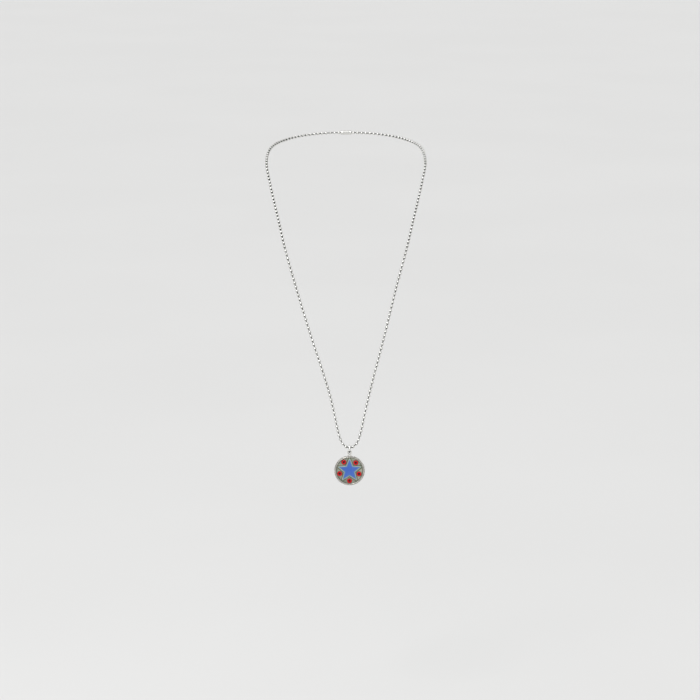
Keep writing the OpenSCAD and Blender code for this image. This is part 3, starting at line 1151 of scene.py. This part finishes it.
def plate_tree(name, material, shape):
    """Round plate in the pendant's plane, whose front the given function shapes."""
    tree, sizes = new_tree(name, {"Radius": "Float", "Thickness": "Float", "Sides": "Int", "Rings": "Int"})
    disc = made(tree, "GeometryNodeMeshCylinder", {
        "Vertices": sizes["Sides"], "Side Segments": 2, "Fill Segments": sizes["Rings"],
        "Radius": sizes["Radius"], "Depth": sizes["Thickness"],
    }, fill_type="TRIANGLE_FAN")
    place = made(tree, "GeometryNodeInputPosition")
    near_front = times(tree, sizes["Thickness"], 0.49)
    is_front = calc(tree, "GREATER_THAN", parts_of(tree, place)["Z"], near_front)
    shaped = shape(tree, disc, place, is_front, sizes["Radius"])
    end_tree(tree, onto_pendant(tree, shaped), material)
    return tree


def ground_front(tree, disc, place, is_front, plate_radius):
    """Slight waves, a groove along the olive line, a lower rim, and beds for the star and the studs."""
    parts = parts_of(tree, place)
    u, v = parts["X"], parts["Y"]
    waves = ripple(tree, place, scale=500.0, detail=3.0, seed=6.0, depth=GROUND_WAVE)
    outside = star_distance(tree, u, v)
    off_line = calc(tree, "ABSOLUTE", minus(tree, outside, OLIVE_LINE_OUT))
    groove = fade(tree, off_line, GROOVE_HALF, 0.0, out_high=GROOVE_DEPTH)
    star_bed = fade(tree, outside, 0.2 * MM, 0.0, out_high=STAR_BED_DEPTH)
    bed_start, bed_end = STUD_D / 2 - 0.3 * MM, STUD_HOLE_D / 2 + 0.2 * MM
    stud_bed = fade(tree, stud_distance(tree, u, v), bed_start, bed_end, out_high=STUD_BED_DEPTH)
    off_rim = minus(tree, plate_radius, from_middle(tree, u, v))
    rim = fade(tree, off_rim, 0.45 * MM, 0.05 * MM, out_high=RIM_DROP)
    drop = plus(tree, plus(tree, groove, plus(tree, star_bed, stud_bed)), rim)
    offset = along_z(tree, times(tree, minus(tree, waves, drop), is_front))
    return made(tree, "GeometryNodeSetPosition", {"Geometry": disc, "Offset": offset})


def star_front(tree, disc, place, is_front, plate_radius):
    """Round plate pulled into the star's outline, with a soft edge."""
    parts = parts_of(tree, place)
    u, v = parts["X"], parts["Y"]
    outline = calc(tree, "DIVIDE", STAR_APOTHEM, star_slant(tree, u, v))
    share = calc(tree, "DIVIDE", outline, plate_radius)
    pulled = made(tree, "ShaderNodeCombineXYZ", {
        "X": times(tree, u, share), "Y": times(tree, v, share), "Z": parts["Z"],
    })
    inside = minus(tree, 1.0, calc(tree, "DIVIDE", from_middle(tree, u, v), plate_radius))
    inwards = times(tree, inside, STAR_APOTHEM)
    height = fade(tree, inwards, 0.0, STAR_SOFT_EDGE, out_low=-STAR_EDGE_DROP, out_high=STAR_STAND)
    offset = along_z(tree, times(tree, height, is_front))
    return made(tree, "GeometryNodeSetPosition", {"Geometry": disc, "Position": pulled, "Offset": offset})


def make_ground(material):
    plate = grow("ground_plate", plate_tree("ground_plate", material, ground_front), {
        "Radius": FIELD_R - FIT_GAP, "Thickness": GROUND_T, "Sides": GROUND_SIDES, "Rings": GROUND_RINGS,
    })
    finished("ground_plate", plate, "pendant", "ground_enamel", "ground")


def make_star(material):
    plate = grow("star_plate", plate_tree("star_plate", material, star_front), {
        "Radius": STAR_TIP_R, "Thickness": GROUND_T, "Sides": STAR_SIDES, "Rings": STAR_RINGS,
    })
    finished("star_plate", plate, "pendant", "star_enamel", "star")


def star_radius(angle, grow_by):
    """Distance from the middle to the star's outline, moved outwards, at an angle from straight up."""
    folded = math.acos(math.cos(5 * angle)) / 5
    return (STAR_APOTHEM + grow_by) / math.cos(folded - STAR_NORMAL)


def make_star_line(material):
    """Raised line with a round top, laid along the star's outline."""
    low, top = -GROUND_T / 2, GROUND_T / 2 + LINE_STAND
    shoulder = top - LINE_CROWN
    rings = []
    for i in range(LINE_SIDES):
        angle = 2 * math.pi * i / LINE_SIDES
        inner = star_radius(angle, FIT_GAP)
        outer = min(star_radius(angle, FIT_GAP + LINE_W), LINE_TIP_R)
        section = [(inner, low), (inner, shoulder)]
        for k in range(1, LINE_CROWN_STEPS):
            t = k / LINE_CROWN_STEPS
            section.append((inner + (outer - inner) * t, top - LINE_CROWN * (2 * t - 1) ** 2))
        section += [(outer, shoulder), (outer, low)]
        rings.append([front(r * math.sin(angle), r * math.cos(angle), h) for r, h in section])
    mesh = loft("star_outline", rings, material)
    finished("star_outline", mesh, "pendant", "line_enamel", "star_line")


def make_studs(red, dark):
    """Five round-topped rings, each with a domed centre in its hole, dark to stand for the shade there."""
    low = -GROUND_T / 2
    base = low + STUD_BASE_T
    inner, outer = STUD_HOLE_D / 2, STUD_D / 2
    half_wall = (outer - inner) / 2
    ring = [(inner, low), (inner, base)]
    ring += arc((inner + half_wall, base), half_wall, 180, 0, STUD_CROWN_STEPS)[1:]
    ring += [(outer, low)]
    pin_r = inner - FIT_GAP
    corner = (pin_r - CENTRE_CORNER, base)
    pin = [(0, low), (pin_r, low)]
    pin += arc(corner, CENTRE_CORNER, 0, CENTRE_CORNER_ANGLE, CENTRE_CORNER_STEPS)
    pin += [(pin_r * CENTRE_DOME_SHARE, base + CENTRE_DOME_LOW), (0, base + CENTRE_DOME_TOP)]
    for number, place in enumerate(STUD_PLACES, 1):
        mesh = lathe(f"red_bead_{number}", ring, STUD_SEGMENTS, red, place)
        finished(f"red_bead_{number}", mesh, "pendant", "stud_enamel", f"red_stud_{number}")
        mesh = lathe(f"bead_centre_{number}", pin, CENTRE_SEGMENTS, dark, place)
        finished(f"bead_centre_{number}", mesh, "pendant", "centre_enamel", f"stud_centre_{number}")


make_camera()
make_world()
make_sun()
make_key_light()
make_floor(floor_paper())

silver = tray_silver()
make_chain(chain_steel())
make_clasp(clasp_steel())
make_ring(ring_steel())
make_tray(silver)
make_edge_beads(silver)
make_eyelet(eyelet_silver())
make_ground(ground_enamel())
make_star(star_enamel())
make_star_line(line_enamel())
make_studs(stud_enamel(), centre_enamel())

bpy.context.scene.view_settings.view_transform = "Standard"
